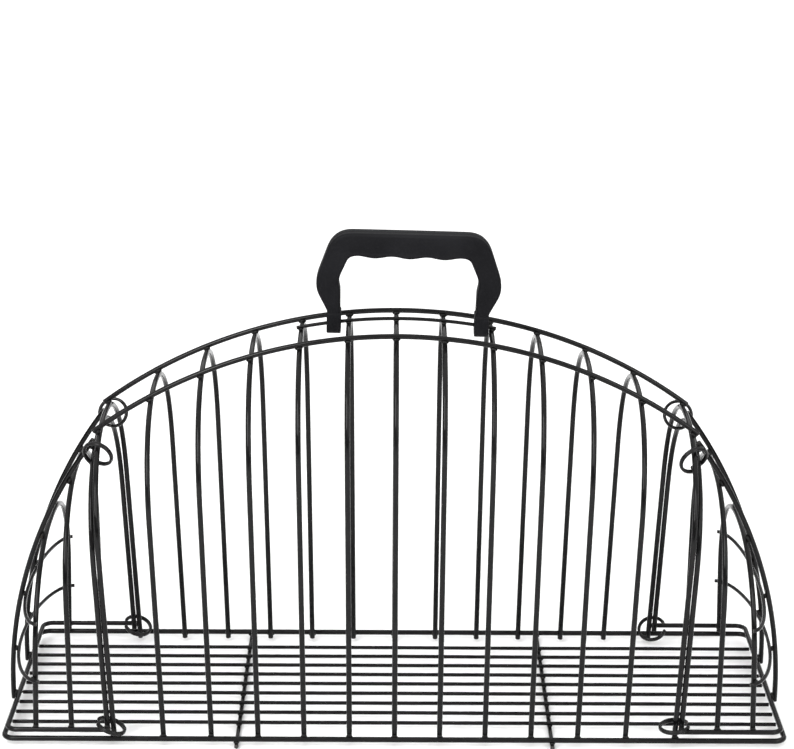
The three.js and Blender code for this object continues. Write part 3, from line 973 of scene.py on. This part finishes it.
def face_outward(mesh):
    """Makes every face of a closed mesh look out."""
    edited = bmesh.new()
    edited.from_mesh(mesh)
    bmesh.ops.recalc_face_normals(edited, faces=edited.faces)
    edited.to_mesh(mesh)
    edited.free()


def mark_hand_wear(mesh):
    """The plastic is polished along the top and the finger hollows, where a hand holds it."""
    places = as_points([v.co for v in mesh.vertices]) / MM
    along = np.clip(1 - np.abs(places[:, 0] - GRIP_SLIDE) / HAND_HALF_WIDTH, 0, 1)
    high = np.clip((places[:, 2] - HAND_LOW_Z) / HAND_FADE, 0, 1)
    set_wear(mesh, HAND_WEAR * along * high)


def add_handle(material):
    vertices, faces = joined((grip_mesh(), foot_mesh(-1), foot_mesh(1)))
    handle = new_mesh("carry_handle_grip", placed_on_rail(vertices), faces, material)
    face_outward(handle.data)
    mark_hand_wear(handle.data)
    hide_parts("carry_handle")
    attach(handle, "handle")


# ---------------------------------------------------------------- stage, light and camera, m

CAMERA_TILT = math.radians(17.66)  # down from level
CAMERA_YAW = -0.00357  # radians
CAMERA_ROLL = 0.00576
CAMERA_DISTANCE = 1.5444
CAMERA_ASIDE = 0.0006
AIM_HEIGHT = 0.2323
LENS = 104.37  # mm
SENSOR = 36.0

STAGE_HALF = 30.0
STAGE_Z = -0.0004  # a little below the trap, which stands at z = 0
ROOM_LIGHT = 0.2
LIGHT_AIM = (0, 0, 0.12)


def add_camera():
    data = bpy.data.cameras.new("camera")
    data.sensor_fit = "HORIZONTAL"
    data.sensor_width = SENSOR
    data.lens = LENS
    data.clip_start = 0.05
    data.clip_end = 60
    camera = bpy.data.objects.new("camera", data)
    bpy.context.scene.collection.objects.link(camera)
    place = Vector((
        CAMERA_ASIDE,
        -CAMERA_DISTANCE * math.cos(CAMERA_TILT),
        AIM_HEIGHT + CAMERA_DISTANCE * math.sin(CAMERA_TILT),
    ))
    turn = Matrix.Rotation(CAMERA_YAW, 4, "Z")
    tilt = Matrix.Rotation(math.pi / 2 - CAMERA_TILT, 4, "X")
    roll = Matrix.Rotation(CAMERA_ROLL, 4, "Z")
    camera.matrix_world = turn @ Matrix.Translation(place) @ tilt @ roll
    bpy.context.scene.camera = camera


def add_area_light(name, place, aim, size, power):
    data = bpy.data.lights.new(name, "AREA")
    data.shape = "RECTANGLE"
    data.size, data.size_y = size
    data.energy = power
    light = bpy.data.objects.new(name, data)
    bpy.context.scene.collection.objects.link(light)
    light.location = place
    light.rotation_euler = (Vector(aim) - Vector(place)).to_track_quat("-Z", "Y").to_euler()


def add_floor():
    mesh = bpy.data.meshes.new("floor")
    signs = ((-1, -1), (1, -1), (1, 1), (-1, 1))
    corners = [(x * STAGE_HALF, y * STAGE_HALF, 0) for x, y in signs]
    mesh.from_pydata(corners, [], [(0, 1, 2, 3)])
    shader = Shader("pale_floor")
    shader.set(Base_Color=(0.97, 0.97, 0.97, 1), Roughness=0.95, Specular_IOR_Level=0.05)
    mesh.materials.append(shader.material)
    floor = bpy.data.objects.new("floor", mesh)
    floor.location.z = STAGE_Z
    bpy.context.scene.collection.objects.link(floor)


def add_studio():
    """A wide white ceiling, a dim room and two soft boxes in front."""
    world = bpy.data.worlds.new("studio")
    world.use_nodes = True
    background = world.node_tree.nodes["Background"]
    background.inputs["Color"].default_value = (1, 1, 1, 1)
    background.inputs["Strength"].default_value = ROOM_LIGHT
    bpy.context.scene.world = world
    add_area_light("ceiling", place=(0, 0, 4.0), aim=(0, 0, 0), size=(22, 22), power=1750)
    add_area_light("key", place=(-1.0, -1.6, 1.5), aim=LIGHT_AIM, size=(0.8, 1.5), power=38)
    add_area_light("fill", place=(1.4, -1.5, 1.0), aim=LIGHT_AIM, size=(0.7, 1.3), power=14)
    bpy.context.scene.view_settings.view_transform = "Standard"
    bpy.context.scene.view_settings.look = "None"


# ---------------------------------------------------------------- the scene

add_camera()
add_floor()
add_studio()

wire_coat = coated_wire()
ring_coat = coated_ring()
weld_coat = weld_metal()
handle_plastic = grained_plastic()

wires = cage_wires() + hood_wires("left", -1) + hood_wires("right", 1)
for wire in wires:
    wire.build(wire_coat, "wire_coat")
add_welds(wires, weld_coat)
add_hinge_rings(ring_coat)
add_latch_rings(ring_coat)
add_handle(handle_plastic)
